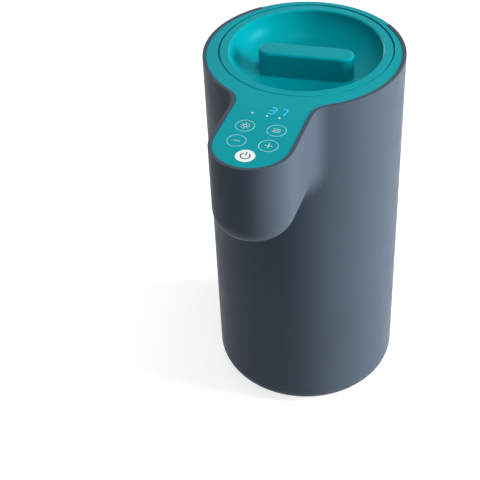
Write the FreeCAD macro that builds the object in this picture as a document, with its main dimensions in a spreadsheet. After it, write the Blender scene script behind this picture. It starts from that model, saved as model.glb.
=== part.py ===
"""Baby formula maker: a round water heater with a dispensing spout and a lift-out tank.

The floor is Z 0, the spout points along -Y and the object is symmetric about X 0.
Every size below is in millimetres and is written once, in the sheet called sizes.
"""
import FreeCAD, Part
import math
import os
import Sketcher

V = FreeCAD.Vector
doc = FreeCAD.newDocument("formula_maker")
sheet = doc.addObject("Spreadsheet::Sheet", "sizes")
nodes = []


# The sheet of sizes
# A value that starts with = is worked out from others.

sizes = {
    # Outer form
    "foot_height": 3,
    "rim_height": 305,
    "deck_drop": 0.4,
    "body_radius": 75,
    "shell_wall": 2.5,
    "rest_height": 30,
    "rest_reach": 1.6,
    "rest_depth": "=rest_reach + shell_wall / 2",
    "neck_reach": 121,
    "spout_radius": 29.5,
    "spout_depth": 71,
    "spout_underside": "=rim_height - spout_depth",
    "underside_round": 20,
    "base_round": 14,
    "neck_blend": 16,
    "seat_gap": 0.3,
    "gland_proud": 1.5,
    "body_back": "=(neck_reach + spout_radius - body_radius - gland_proud) / 2",
    "spout_back": "=body_back - neck_reach",

    # Base
    "plate_margin": 1.5,
    "base_plate_radius": "=body_radius - base_round - plate_margin",
    "base_plate_thick": 2.5,
    "lip_thick": 2.5,
    "lip_width": 9.5,
    "lip_mouth": "=base_plate_radius - lip_width",
    "screw_inset": 21,
    "screw_circle": "=body_radius - screw_inset",
    "screw_shank": 1.5,
    "screw_clear": 1.8,
    "screw_head": 3.2,
    "foot_radius": 8,
    "foot_skin": 1,
    "vent_length": 26,
    "vent_width": 3,
    "vent_start": 14,
    "vent_count": 6,
    "plate_top": "=foot_height + base_plate_thick",
    "lip_top": "=plate_top + lip_thick",

    # Deck, lid and tank
    "deck_thick": 2.5,
    "deck_skirt": 8,
    "skirt_wall": 2,
    "collar_depth": 15,
    "collar_wall": 2,
    "tab_half_angle": 43,
    "lid_offset": 5.5,
    "rim_shelf": 10.2,
    "lid_radius": "=body_radius - rim_shelf",
    "lid_gap": 0.5,
    "lid_drop": 0.6,
    "lid_ring_thick": 3.2,
    "lid_wall": 2.2,
    "lid_ring_width": 7.8,
    "bowl_radius": "=lid_radius - lid_ring_width",
    "bowl_wall_width": 21,
    "bowl_floor_radius": "=bowl_radius - bowl_wall_width",
    "bowl_edge_drop": 1.5,
    "bar_length": 72,
    "bar_width": 17,
    "bar_drop": 3,
    "bar_round": 2,
    "bar_turn": 6,
    "edge_break": 1,
    "deck_radius": "=body_radius - shell_wall - seat_gap",
    "deck_spout_radius": "=spout_radius - shell_wall - seat_gap",
    "deck_high": "=rim_height - deck_drop",
    "deck_under": "=deck_high - deck_thick",
    "skirt_low": "=rim_height - deck_skirt",
    "collar_low": "=rim_height - collar_depth",
    "opening_radius": "=lid_radius + lid_gap",
    "tank_back": "=body_back + lid_offset",
    "lid_top": "=rim_height - lid_drop",
    "ring_under": "=lid_top - lid_ring_thick",
    "bowl_edge": "=rim_height - bowl_edge_drop",
    "bowl_depth": "=bowl_radius - bowl_floor_radius",
    "bowl_floor": "=bowl_edge - bowl_depth",

    "tank_room": 12.5,
    "tank_radius": "=body_radius - tank_room",
    "tank_wall": 1.8,
    "tank_depth": 118,
    "tank_bottom": "=rim_height - tank_depth",
    "tank_corner": 6,
    "bead_height": 3.5,
    "spigot_radius": 11,
    "spigot_bore": 8.5,
    "spigot_drop": 13,
    "tank_rim": "=ring_under - 0.2",
    "tank_floor": "=tank_bottom + tank_wall",
    "tank_inner": "=tank_radius - tank_wall",
    "spigot_low": "=tank_bottom - spigot_drop",
    "float_inset": 12.5,
    "float_place": "=tank_radius - float_inset",
    "float_post": 2,
    "float_bore_gap": 0.1,
    "float_radius": 8,
    "float_height": 14,
    "float_travel": 60,
    "float_shoulder": 3,
    "cap_height": 3,
    "float_low": "=tank_floor + float_shoulder",
    "float_stop": "=float_low + float_height + float_travel",
    "filter_radius": 16,
    "filter_height": 2.5,
    "filter_hole": 1.8,

    # Frame that carries the tank
    "tray_thick": 2.5,
    "tray_gap": 1,
    "tank_seat": 4.5,
    "guide_gap": 0.6,
    "guide_wall": 2,
    "guide_height": 12,
    "post_radius": 4.5,
    "collar_bore": 13.2,
    "dock_wall": 2.2,
    "dock_floor": 2,
    "spike_radius": 3.5,
    "spike_bore": 2,
    "barb_radius": 4,
    "barb_length": 12,
    "tray_top": "=tank_bottom - tank_seat",
    "tray_under": "=tray_top - tray_thick",
    "dock_low": "=spigot_low - seat_gap - dock_floor",
    "barb_low": "=dock_low - barb_length",
    "tray_radius": "=body_radius - shell_wall - tray_gap",
    "hose_bore": 4.1,
    "hose_radius": 6,

    # Flow meter, straight under the dock
    "meter_radius": 12,
    "meter_wall": 2,
    "meter_height": 16,
    "turbine_gap": 0.7,
    "pivot_radius": 1,
    "pivot_gap": 0.05,
    "stub_length": 10,
    "meter_gap": 2,
    "arm_thick": 3,
    "meter_stub_top": "=barb_low - meter_gap",
    "meter_top": "=meter_stub_top - stub_length",
    "meter_low": "=meter_top - meter_height",

    # Pump
    "pump_side": -30,
    "pump_ahead": -9,
    "outlet_aside": 9,
    "pump_radius": 16,
    "pump_mount_inset": 3,
    "pump_wall": 2.5,
    "pump_mount_height": 7,
    "pump_head_height": 14,
    "pump_cover_height": 3,
    "shaft_radius": 1.5,
    "shaft_gap": 0.05,
    "shaft_length": 24,
    "impeller_gap": 1,
    "blade_thick": 1.2,
    "motor_radius": 13.5,
    "motor_height": 40,
    "pump_low": "=plate_top + pump_mount_height",
    "pump_top": "=pump_low + pump_head_height",
    "cover_top": "=pump_top + pump_cover_height",
    "pump_port": "=pump_low + pump_head_height / 2",

    # Heater
    "heater_side": 26,
    "heater_ahead": "=pump_ahead - outlet_aside",
    "heater_radius": 13,
    "heater_bore": 9,
    "heater_length": 90,
    "heater_low": "=pump_port + heater_cap / 2",
    "heater_cap": 10,
    "heater_cap_lip": 1.5,
    "element_radius": 6,
    "fin_count": 12,
    "fin_height": 3,
    "fin_thick": 1.6,
    "heater_top": "=heater_low + heater_length",
    "heater_port": "=heater_low - heater_cap / 2",

    # Nozzle
    "nozzle_radius": 6.5,
    "nozzle_flange": 9,
    "nozzle_flange_thick": 2,
    "nozzle_proud": 3,
    "nozzle_stem": 8,
    "nozzle_bore": 2,
    "outlet_barb": 3,
    "outlet_hose_bore": 3.1,
    "outlet_hose_radius": 4.5,
    "outlet_pass_side": 8,
    "cable_pass_side": -9,
    "pass_inset": 10,
    "front_pass": "=pass_inset - body_radius",
    "cable_radius": 2,
    "spout_floor": "=spout_underside + shell_wall",

    # Boards
    "board_thick": 1.6,
    "control_board_width": 40,
    "control_board_back": -78,
    "control_board_drop": 10,
    "board_top": "=deck_under - control_board_drop",
    "key_radius": 6.7,
    "key_side": 11.2,
    "key_front": -120,
    "key_middle": -102,
    "key_power": -134.8,
    "power_board_width": 62,
    "power_board_height": 84,
    "power_board_low": 40,
    "board_inset": 21,
    "power_board_back": "=body_radius - board_inset",
    "gland_height": 32,
    "gland_radius": 6,
    "gland_flange": 8.5,
    "gland_bore": 3.5,
    "gland_inner": 10,
    "nut_thick": 3.5,
}
for row, (name, number) in enumerate(sizes.items(), start=1):
    sheet.set(f"A{row}", name)
    sheet.set(f"B{row}", str(number))
    sheet.setAlias(f"B{row}", name)
doc.recompute()


# Helpers for pieces, sketches and features

def value(expression):
    """The number that an expression on the sheet's names has now."""
    return float(sheet.evalExpression(expression))


FUNCTIONS = ("cos", "sin", "sqrt", "deg")


def own(expression):
    """Write an expression on the sheet's names so that another object can read it."""
    words = []
    word = ""
    for letter in expression + " ":
        if letter.isalnum() or letter in "_.":
            word += letter
            continue
        words.append("sizes." + word if word[:1].isalpha() and word not in FUNCTIONS else word)
        words.append(letter)
        word = ""
    return "".join(words).strip()


def bind(thing, path, expression):
    """Tie one property of an object to the sheet."""
    thing.setExpression(path, own(expression))


def keep(thing, label):
    """Give a finished sub-part its name and list it among the pieces that are written."""
    thing.Label = label
    nodes.append(thing)
    return thing


def piece(label, right="0", back="0", up="0"):
    """An empty body whose own axis stands at the given place."""
    body = doc.addObject("PartDesign::Body", label)
    for axis, expression in (("x", right), ("y", back), ("z", up)):
        if expression != "0":
            bind(body, f"Placement.Base.{axis}", expression)
    return body


def sketch_on(body, name, role="XY_Plane", height="0"):
    """A sketch on one of the body's own planes, moved along its normal."""
    sketch = body.newObject("Sketcher::SketchObject", name)
    planes = body.Origin.OriginFeatures
    sketch.AttachmentSupport = [(next(p for p in planes if p.Role == role), "")]
    sketch.MapMode = "FlatFace"
    if height != "0":
        bind(sketch, "AttachmentOffset.Base.z", height)
    return sketch


def hold(sketch, kind, geometry, point, expression):
    """Fix one coordinate of a sketch point, measured from the sketch's origin."""
    number = value(expression)
    if abs(number) < 1e-9:
        axis = -2 if kind == "DistanceX" else -1
        sketch.addConstraint(Sketcher.Constraint("PointOnObject", geometry, point, axis))
        return
    index = sketch.addConstraint(Sketcher.Constraint(kind, -1, 1, geometry, point, number))
    bind(sketch, f"Constraints[{index}]", expression)


def circle(sketch, radius, right="0", up="0"):
    """A circle whose centre and radius are tied to the sheet."""
    centre = V(value(right), value(up), 0)
    index = sketch.addGeometry(Part.Circle(centre, V(0, 0, 1), value(radius)))
    hold(sketch, "DistanceX", index, 3, right)
    hold(sketch, "DistanceY", index, 3, up)
    rule = sketch.addConstraint(Sketcher.Constraint("Radius", index, value(radius)))
    bind(sketch, f"Constraints[{rule}]", radius)


def outline(sketch, corners, arcs=None):
    """A closed outline through the corners.

    arcs gives, for the side that leaves a corner, its centre and whether it runs anticlockwise.
    """
    arcs = arcs or {}
    places = [V(value(x), value(y), 0) for x, y in corners]
    ends = []
    for number, start in enumerate(places):
        finish = places[(number + 1) % len(places)]
        if number not in arcs:
            sketch.addGeometry(Part.LineSegment(start, finish))
            ends.append((1, 2))
            continue
        centre_x, centre_y, anticlockwise = arcs[number]
        centre = V(value(centre_x), value(centre_y), 0)
        first, last = (start, finish) if anticlockwise else (finish, start)
        angles = [math.atan2(p.y - centre.y, p.x - centre.x) for p in (first, last)]
        if angles[1] <= angles[0]:
            angles[1] += 2 * math.pi
        round_line = Part.Circle(centre, V(0, 0, 1), (first - centre).Length)
        sketch.addGeometry(Part.ArcOfCircle(round_line, angles[0], angles[1]))
        ends.append((1, 2) if anticlockwise else (2, 1))
    for number, (x, y) in enumerate(corners):
        last = (number - 1) % len(corners)
        here = ends[number][0]
        sketch.addConstraint(Sketcher.Constraint("Coincident", last, ends[last][1], number, here))
        hold(sketch, "DistanceX", number, here, x)
        hold(sketch, "DistanceY", number, here, y)
    for number, (centre_x, centre_y, anticlockwise) in arcs.items():
        start = places[number]
        finish = places[(number + 1) % len(places)]
        level = abs(finish.x - start.x) >= abs(finish.y - start.y)
        kind, expression = ("DistanceY", centre_y) if level else ("DistanceX", centre_x)
        hold(sketch, kind, number, 3, expression)


def pad(body, name, sketch, length, downwards=False):
    """Raise a sketch by a length."""
    feature = body.newObject("PartDesign::Pad", name)
    feature.Profile = sketch
    feature.Reversed = downwards
    bind(feature, "Length", length)
    return feature


def pocket(body, name, sketch, length, upwards=True):
    """Cut a sketch into the body, upwards unless it says otherwise."""
    feature = body.newObject("PartDesign::Pocket", name)
    feature.Profile = sketch
    feature.Reversed = upwards
    bind(feature, "Length", length)
    return feature


def post(body, name, low, high, radius, right="0", back="0"):
    """A round post that stands from one height to another."""
    sketch = sketch_on(body, name + "_plan", height=low)
    circle(sketch, radius, right, back)
    return pad(body, name, sketch, f"{high} - ({low})")


def drill(body, name, low, high, radius, right="0", back="0"):
    """A round hole that runs from one height to another."""
    sketch = sketch_on(body, name + "_plan", height=low)
    circle(sketch, radius, right, back)
    return pocket(body, name, sketch, f"{high} - ({low})")


def block(body, name, low, high, left, right, front, back, cut=False):
    """A box-shaped pad or pocket between the given sides."""
    sketch = sketch_on(body, name + "_plan", height=low)
    outline(sketch, [(left, front), (right, front), (right, back), (left, back)])
    make = pocket if cut else pad
    return make(body, name, sketch, f"{high} - ({low})")


def turn(body, name, corners, arcs=None, cut=False):
    """Revolve an outline of radius and height round the body's own axis."""
    sketch = sketch_on(body, name + "_profile", role="XZ_Plane")
    outline(sketch, corners, arcs)
    feature = body.newObject("PartDesign::Groove" if cut else "PartDesign::Revolution", name)
    feature.Profile = sketch
    feature.ReferenceAxis = (sketch, ["V_Axis"])
    feature.Angle = 360
    return feature


def ring_of(body, name, feature, count):
    """Repeat a feature evenly round the body's own axis."""
    pattern = body.newObject("PartDesign::PolarPattern", name)
    pattern.Originals = [feature]
    pattern.Axis = (feature.Profile[0], ["N_Axis"])
    pattern.Angle = 360
    pattern.Occurrences = count
    body.Tip = pattern
    return pattern


def rounded(body, name, feature, test, radius):
    """Fillet the edges of a feature that pass a test."""
    doc.recompute()
    edges = [f"Edge{n}" for n, edge in enumerate(feature.Shape.Edges, 1) if test(edge)]
    fillet = body.newObject("PartDesign::Fillet", name)
    fillet.Base = (feature, edges)
    bind(fillet, "Radius", radius)
    return fillet


def turned(label, corners, arcs=None, right="0", back="0", up="0"):
    """A whole piece made by revolving one outline."""
    body = piece(label, right, back, up)
    turn(body, label + "_turning", corners, arcs)
    return keep(body, label)


def sleeve(label, outer, inner, low, high, right="0", back="0"):
    """A plain ring or tube about an upright axis."""
    corners = [(inner, low), (outer, low), (outer, high), (inner, high)]
    return turned(label, corners, None, right, back)


def cylinder(name, radius, low, high, right="0", back="0"):
    """An upright round tool for the booleans."""
    tool = doc.addObject("Part::Cylinder", name)
    bind(tool, "Radius", radius)
    bind(tool, "Height", f"{high} - ({low})")
    for axis, expression in (("x", right), ("y", back), ("z", low)):
        if expression != "0":
            bind(tool, f"Placement.Base.{axis}", expression)
    return tool


def lying(name, radius, front, back, up, right="0"):
    """A round tool that lies along Y."""
    tool = doc.addObject("Part::Cylinder", name)
    tool.Placement.Rotation = FreeCAD.Rotation(V(1, 0, 0), -90)
    bind(tool, "Radius", radius)
    bind(tool, "Height", f"{back} - ({front})")
    for axis, expression in (("x", right), ("y", front), ("z", up)):
        if expression != "0":
            bind(tool, f"Placement.Base.{axis}", expression)
    return tool


def across(name, radius, left, right, up, back="0"):
    """A round tool that lies along X."""
    tool = doc.addObject("Part::Cylinder", name)
    tool.Placement.Rotation = FreeCAD.Rotation(V(0, 1, 0), 90)
    bind(tool, "Radius", radius)
    bind(tool, "Height", f"{right} - ({left})")
    for axis, expression in (("x", left), ("y", back), ("z", up)):
        if expression != "0":
            bind(tool, f"Placement.Base.{axis}", expression)
    return tool


def box(name, left, right, front, back, low, high):
    """A square tool between the given sides."""
    tool = doc.addObject("Part::Box", name)
    bind(tool, "Length", f"{right} - ({left})")
    bind(tool, "Width", f"{back} - ({front})")
    bind(tool, "Height", f"{high} - ({low})")
    for axis, expression in (("x", left), ("y", front), ("z", low)):
        if expression != "0":
            bind(tool, f"Placement.Base.{axis}", expression)
    return tool


def sector(name, radius, low, high, half_angle):
    """A slice of a cylinder, centred on the rear of the body."""
    tool = cylinder(name, radius, low, high, back="body_back")
    bind(tool, "Angle", f"2 * ({half_angle})")
    tool.Placement.Rotation = FreeCAD.Rotation(V(0, 0, 1), 90 - value(half_angle))
    bind(tool, "Placement.Rotation.Angle", f"90 - ({half_angle})")
    return tool


def joined(name, *tools):
    """The union of several solids."""
    fused = doc.addObject("Part::MultiFuse", name)
    fused.Shapes = list(tools)
    return fused


def cut(name, base, *tools):
    """One solid less others."""
    result = doc.addObject("Part::Cut", name)
    result.Base = base
    result.Tool = tools[0] if len(tools) == 1 else joined(name + "_tools", *tools)
    return result


def group(label, *solids):
    """Several like solids that share one node."""
    together = doc.addObject("Part::Compound", label)
    together.Links = list(solids)
    return keep(together, label)


def tube(label, route, bends, outer, inner):
    """A hose along straight runs joined by tangent arcs, with its bore open at both ends."""
    points = [V(*(value(part) for part in place)) for place in route]
    edges = []
    start = points[0]
    for number in range(1, len(points) - 1):
        corner = points[number]
        before = (points[number - 1] - corner).normalize()
        after = (points[number + 1] - corner).normalize()
        half = before.getAngle(after) / 2
        reach = value(bends[number - 1]) / math.tan(half)
        enter = corner + before * reach
        leave = corner + after * reach
        inward = (before + after).normalize()
        centre = corner + inward * (value(bends[number - 1]) / math.sin(half))
        middle = centre - inward * value(bends[number - 1])
        edges.append(Part.makeLine(start, enter))
        edges.append(Part.Arc(enter, middle, leave).toShape())
        start = leave
    edges.append(Part.makeLine(start, points[-1]))
    path = Part.Wire(edges)
    heading = points[1] - points[0]
    solids = []
    for radius in (outer, inner):
        section = Part.Wire(Part.makeCircle(value(radius), points[0], heading))
        solids.append(path.makePipeShell([section], True, True))
    hose = doc.addObject("Part::Feature", label)
    hose.Shape = solids[0].cut(solids[1])
    return keep(hose, label)


# Outer shell: one moulding with the spout at the front, open at the top and the bottom

def on_height(edge, height):
    """Whether an edge lies flat at one height."""
    return abs(edge.BoundBox.ZMin - height) < 0.01 and abs(edge.BoundBox.ZMax - height) < 0.01


def keyhole(label, radius, spout, low, underside, high, base_fillet, underside_fillet, blend):
    """The round trunk with the spout's neck in front, rounded as the shell is."""
    body = piece(label, back="body_back")
    trunk = sketch_on(body, label + "_trunk_plan", height=low)
    circle(trunk, radius)
    pad(body, label + "_trunk", trunk, f"{high} - ({low})")
    neck = sketch_on(body, label + "_neck_plan", height=underside)
    sides = [(spout, "0"), (f"-({spout})", "0"), (f"-({spout})", "-neck_reach"),
             (spout, "-neck_reach")]
    outline(neck, sides, {2: ("0", "-neck_reach", True)})
    feature = pad(body, label + "_neck", neck, f"{high} - ({underside})")
    front = -value(radius)
    if underside_fillet != "0":
        level = value(underside)

        def lower_edge(edge):
            straight = edge.Length > value(radius)
            on_trunk = edge.CenterOfMass.y > front and edge.BoundBox.YMax < front / 2
            return on_height(edge, level) and edge.BoundBox.YMin < front and not (
                straight and on_trunk) and not is_on_trunk(edge, value(radius))

        feature = rounded(body, label + "_underside", feature, lower_edge, underside_fillet)
    if base_fillet != "0":
        feature = rounded(body, label + "_base", feature,
                          lambda edge: on_height(edge, value(low)), base_fillet)
    top = value(high)
    rounded(body, label + "_blend", feature,
            lambda edge: is_on_trunk(edge, value(radius)) and not on_height(edge, top)
            and edge.BoundBox.ZMax > value(underside) - 0.01 and edge.BoundBox.YMax < front / 2,
            blend)
    return body


def is_on_trunk(edge, radius):
    """Whether every part of an edge lies on the round trunk."""
    first, last = edge.ParameterRange
    places = [edge.valueAt(first + (last - first) * share) for share in (0, 0.25, 0.5, 0.75, 1)]
    return all(abs(math.hypot(p.x, p.y) - radius) < 0.01 for p in places)


def housing_shell():
    """The dark outer shell with its wall, deck rests, rear notch and openings."""
    outside = keyhole("shell_outside", "body_radius", "spout_radius", "foot_height",
                      "spout_underside", "rim_height", "base_round", "underside_round",
                      "neck_blend")
    inside = keyhole("shell_inside", "body_radius - shell_wall", "spout_radius - shell_wall",
                     "lip_top", "spout_floor", "rim_height + 1",
                     "base_round - shell_wall", "underside_round - shell_wall",
                     "neck_blend + shell_wall")
    walls = cut("shell_walls", outside, inside)
    rests = [deck_rest(number, angle) for number, angle in enumerate((0, 32, 148, 180, 212, 328))]
    openings = [
        cylinder("plate_recess", "base_plate_radius + seat_gap", "foot_height - 1", "plate_top",
                 back="body_back"),
        cylinder("base_mouth", "lip_mouth", "foot_height", "lip_top + 1", back="body_back"),
        cylinder("nozzle_hole", "nozzle_radius + seat_gap", "spout_underside - 1",
                 "spout_floor + 1", back="spout_back"),
        lying("gland_hole", "gland_radius + seat_gap / 3", "body_back + body_radius - 8",
              "body_back + body_radius + 1", "gland_height"),
        sector("tab_notch", "body_radius + 5", "collar_low - seat_gap", "rim_height + 1",
               "tab_half_angle"),
    ]
    for number in range(4):
        openings.append(corner_hole(f"lip_hole_{number}", number, "screw_clear",
                                    "plate_top - 1", "lip_top + 1"))
    keep(cut("housing_shell", joined("shell_with_rests", walls, *rests), *openings),
         "housing_shell")


def deck_rest(number, angle):
    """A short rib inside the shell that the deck's skirt stands on."""
    rib = doc.addObject("Part::Box", f"deck_rest_{number}")
    bind(rib, "Length", "rest_depth")
    bind(rib, "Width", "skirt_wall")
    bind(rib, "Height", "rest_height")
    turn_back = FreeCAD.Rotation(V(0, 0, 1), angle)
    rib.Placement.Rotation = turn_back
    reach = "(body_radius - shell_wall - rest_reach)"
    bind(rib, "Placement.Base.x", f"{reach} * cos({angle})")
    bind(rib, "Placement.Base.y", f"body_back + {reach} * sin({angle})")
    bind(rib, "Placement.Base.z", "skirt_low - rest_height")
    return rib


def corner_place(number):
    """The place of one of the four corner screws, as two expressions."""
    right = f"screw_circle * cos({45 + 90 * number})"
    back = f"body_back + screw_circle * sin({45 + 90 * number})"
    return right, back


def corner_hole(name, number, radius, low, high):
    """An upright tool at one of the four corner screws."""
    right, back = corner_place(number)
    return cylinder(name, radius, low, high, right, back)


# Base plate, feet and the screws under the feet

def base_plate():
    """The flat cover under the body, with vent slots and the ring that centres it."""
    body = piece("base_plate_disc", back="body_back")
    post(body, "plate_disc", "foot_height", "plate_top", "base_plate_radius")
    turn(body, "plate_centring", [("lip_mouth - 3", "plate_top - 0.5"),
                                  ("lip_mouth - seat_gap", "plate_top - 0.5"),
                                  ("lip_mouth - seat_gap", "lip_top"),
                                  ("lip_mouth - 3", "lip_top")])
    slot = block(body, "plate_vent", "foot_height - 1", "plate_top + 1", "vent_start",
                 "vent_start + vent_length", "-vent_width / 2", "vent_width / 2", cut=True)
    ring_of(body, "plate_vents", slot, int(value("vent_count")))
    holes = [corner_hole(f"plate_hole_{number}", number, "screw_clear", "foot_height - 1",
                         "plate_top + 1") for number in range(4)]
    keep(cut("base_plate_drilled", body, *holes), "base_plate")


def feet_and_screws():
    """Four soft feet, each glued over the screw that it hides."""
    feet = []
    screws = []
    for number in range(4):
        right, back = corner_place(number)
        foot = piece(f"foot_{number}", right, back)
        turn(foot, f"foot_form_{number}", [
            ("0", "0"), ("foot_radius - edge_break", "0"), ("foot_radius", "edge_break"),
            ("foot_radius", "foot_height"), ("screw_head + seat_gap", "foot_height"),
            ("screw_head + seat_gap", "foot_skin"), ("0", "foot_skin")])
        feet.append(foot)
        screw = piece(f"base_screw_{number}", right, back)
        turn(screw, f"base_screw_form_{number}", [
            ("0", "foot_skin + seat_gap"), ("screw_head", "foot_skin + seat_gap"),
            ("screw_head", "foot_height"), ("screw_shank", "foot_height"),
            ("screw_shank", "lip_top + 12"), ("0", "lip_top + 13")])
        screws.append(screw)
    group("rubber_feet", *feet)
    group("base_screws", *screws)


# Top deck: the coloured cover with the touch panel over the spout and the tab at the rear

def top_deck():
    """The deck plate, its skirt, the collar round the lid and the rear tab."""
    plate = keyhole("deck_outside", "deck_radius", "deck_spout_radius", "skirt_low", "skirt_low",
                    "deck_high", "0", "0", "neck_blend + shell_wall + seat_gap")
    hollow = keyhole("deck_inside", "deck_radius - skirt_wall", "deck_spout_radius - skirt_wall",
                     "skirt_low - 1", "skirt_low - 1", "deck_under", "0", "0",
                     "neck_blend + shell_wall + seat_gap + skirt_wall")
    collar = cylinder("lid_collar", "opening_radius + collar_wall", "collar_low", "deck_high",
                      back="tank_back")
    tab = sector("rear_tab", "body_radius", "collar_low", "deck_high", "tab_half_angle - 0.4")
    tab_core = cylinder("rear_tab_core", "deck_radius - skirt_wall", "collar_low - 1",
                        "rim_height + 1", back="body_back")
    opening = cylinder("lid_opening", "opening_radius", "collar_low - 1", "rim_height + 1",
                       back="tank_back")
    bosses = []
    for number, (side, back) in enumerate(board_corners()):
        bosses.append(cylinder(f"board_boss_{number}", "2.6", "board_top", "rim_height - 0.5",
                               side, back))
    pilots = [cylinder(f"boss_pilot_{number}", "1.05", "board_top - 1", "deck_under - 1", side, back)
              for number, (side, back) in enumerate(board_corners())]
    cover = cut("deck_cover", plate, hollow)
    whole = joined("deck_whole", cover, collar, cut("deck_tab", tab, tab_core), *bosses)
    keep(cut("top_deck", whole, opening, *pilots), "top_deck")


def board_corners():
    """The four fixing places of the control board, each as two expressions."""
    sides = ("-(control_board_width / 2 - 4)", "control_board_width / 2 - 4")
    ends = ("body_back + control_board_back - 4", "spout_back - 6")
    return [(side, end) for end in ends for side in sides]


# Lid: a dish with a grip bar across it

def lid():
    """The dished lid, with the bar that the fingers take hold of."""
    body = piece("lid", back="tank_back")
    body.Placement.Rotation = FreeCAD.Rotation(V(0, 0, 1), value("bar_turn"))
    bind(body, "Placement.Rotation.Angle", "bar_turn")
    centre = ("bowl_floor_radius", "bowl_edge")
    turn(body, "dish", [
        ("bowl_radius", "bowl_edge"), ("bowl_floor_radius", "bowl_floor"), ("0", "bowl_floor"),
        ("0", "bowl_floor - lid_wall"), ("bowl_floor_radius", "bowl_floor - lid_wall"),
        ("bowl_radius + lid_wall", "bowl_edge")],
        {0: (*centre, False), 4: (*centre, True)})
    turn(body, "lid_ring", [
        ("bowl_radius", "bowl_edge"), ("bowl_radius + edge_break", "lid_top"),
        ("lid_radius - edge_break", "lid_top"), ("lid_radius", "lid_top - edge_break"),
        ("lid_radius", "ring_under"), ("bowl_radius + edge_break", "ring_under"),
        ("bowl_radius + edge_break", "bowl_edge")])
    plan = sketch_on(body, "bar_plan", height="bowl_floor - lid_wall")
    bar_outline(plan, "0")
    bar = pad(body, "grip_bar", plan, "rim_height - bar_drop - (bowl_floor - lid_wall)")
    top = value("rim_height - bar_drop")
    bar = rounded(body, "grip_bar_edge", bar, lambda edge: on_height(edge, top), "bar_round")
    under = sketch_on(body, "bar_hollow_plan", height="bowl_floor - lid_wall - 1")
    bar_outline(under, "lid_wall")
    pocket(body, "bar_hollow", under, "rim_height - bar_drop - lid_wall - (bowl_floor - lid_wall - 1)")
    keep(body, "lid")


def bar_outline(sketch, inset):
    """A long outline with round ends, drawn in by the inset."""
    half = "(bar_length - bar_width) / 2"
    wide = f"(bar_width / 2 - {inset})"
    outline(sketch, [(f"-({half})", f"-{wide}"), (half, f"-{wide}"), (half, wide),
                     (f"-({half})", wide)],
            {1: (half, "0", True), 3: (f"-({half})", "0", True)})


def lid_seal():
    """The soft ring under the lid's edge that wipes the tank's wall."""
    root = "bowl_radius + lid_wall + 0.1"
    tip = "tank_inner - seat_gap"
    turned("lid_seal", [(root, "ring_under - 0.1"), (root, "ring_under - 4"),
                        (tip, "ring_under - 5"), (tip, "ring_under - 3"),
                        ("tank_inner - 0.7", "ring_under - 0.1")], back="tank_back")


# Water tank with its outlet, filter, self-closing valve and level float

def water_tank():
    """The clear tank: a straight-sided cup with a rim bead, an outlet and a float post."""
    body = piece("water_tank", back="tank_back")
    corner = ("tank_radius - tank_corner", "tank_bottom + tank_corner")
    turn(body, "tank_wall_form", [
        ("tank_inner", "tank_rim"), ("tank_inner", "tank_bottom + tank_corner"),
        ("tank_radius - tank_corner", "tank_floor"), ("spigot_bore", "tank_floor"),
        ("spigot_bore", "spigot_low"), ("spigot_radius", "spigot_low"),
        ("spigot_radius", "tank_bottom"), ("tank_radius - tank_corner", "tank_bottom"),
        ("tank_radius", "tank_bottom + tank_corner"), ("tank_radius", "tank_rim - bead_height"),
        ("lid_radius - 0.2", "tank_rim - bead_height"), ("lid_radius - 0.2", "tank_rim")],
        {1: (*corner, False), 7: (*corner, True)})
    post(body, "float_seat", "tank_floor - 0.5", "float_low", "float_post + 2",
         "-float_place", "0")
    post(body, "float_guide", "tank_floor - 0.5", "float_stop + cap_height", "float_post",
         "-float_place", "0")
    keep(body, "water_tank")


def tank_fittings():
    """The filter, the slit valve, the float and its cap."""
    body = piece("tank_filter", back="tank_back")
    turn(body, "filter_dish", [
        ("0", "tank_floor"), ("filter_radius", "tank_floor"),
        ("filter_radius", "tank_floor + filter_height"),
        ("filter_radius - 2", "tank_floor + filter_height"),
        ("filter_radius - 2", "tank_floor + 1"), ("0", "tank_floor + 1")])
    hole = drill(body, "filter_hole_form", "tank_floor - 1", "tank_floor + 2", "filter_hole",
                 "filter_radius / 2.6", "0")
    ring_of(body, "filter_holes", hole, 8)
    keep(body, "tank_filter")
    turned("tank_valve", [
        ("spike_radius + 0.4", "spigot_low + 0.5"), ("spigot_bore - 0.1", "spigot_low + 0.5"),
        ("spigot_bore - 0.1", "spigot_low + 9"), ("spigot_bore - 2", "spigot_low + 9"),
        ("spigot_bore - 2.5", "spigot_low + 3"), ("spike_radius + 0.4", "spigot_low + 2")],
        back="tank_back")
    bore = "float_post + float_bore_gap"
    turned("level_float", [
        (bore, "float_low"), ("float_radius - edge_break", "float_low"),
        ("float_radius", "float_low + edge_break"),
        ("float_radius", "float_low + float_height - edge_break"),
        ("float_radius - edge_break", "float_low + float_height"),
        (bore, "float_low + float_height")], right="-float_place", back="tank_back")
    turned("float_cap", [
        ("float_post", "float_stop + 0.05"), ("float_post + 2", "float_stop + 0.05"),
        ("float_post + 2", "float_stop + cap_height"),
        ("0", "float_stop + cap_height + 1.2"), ("0", "float_stop + cap_height"),
        ("float_post", "float_stop + cap_height")], right="-float_place", back="tank_back")


# Inner frame: the tray that the tank stands on, the dock below it and four posts

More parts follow.
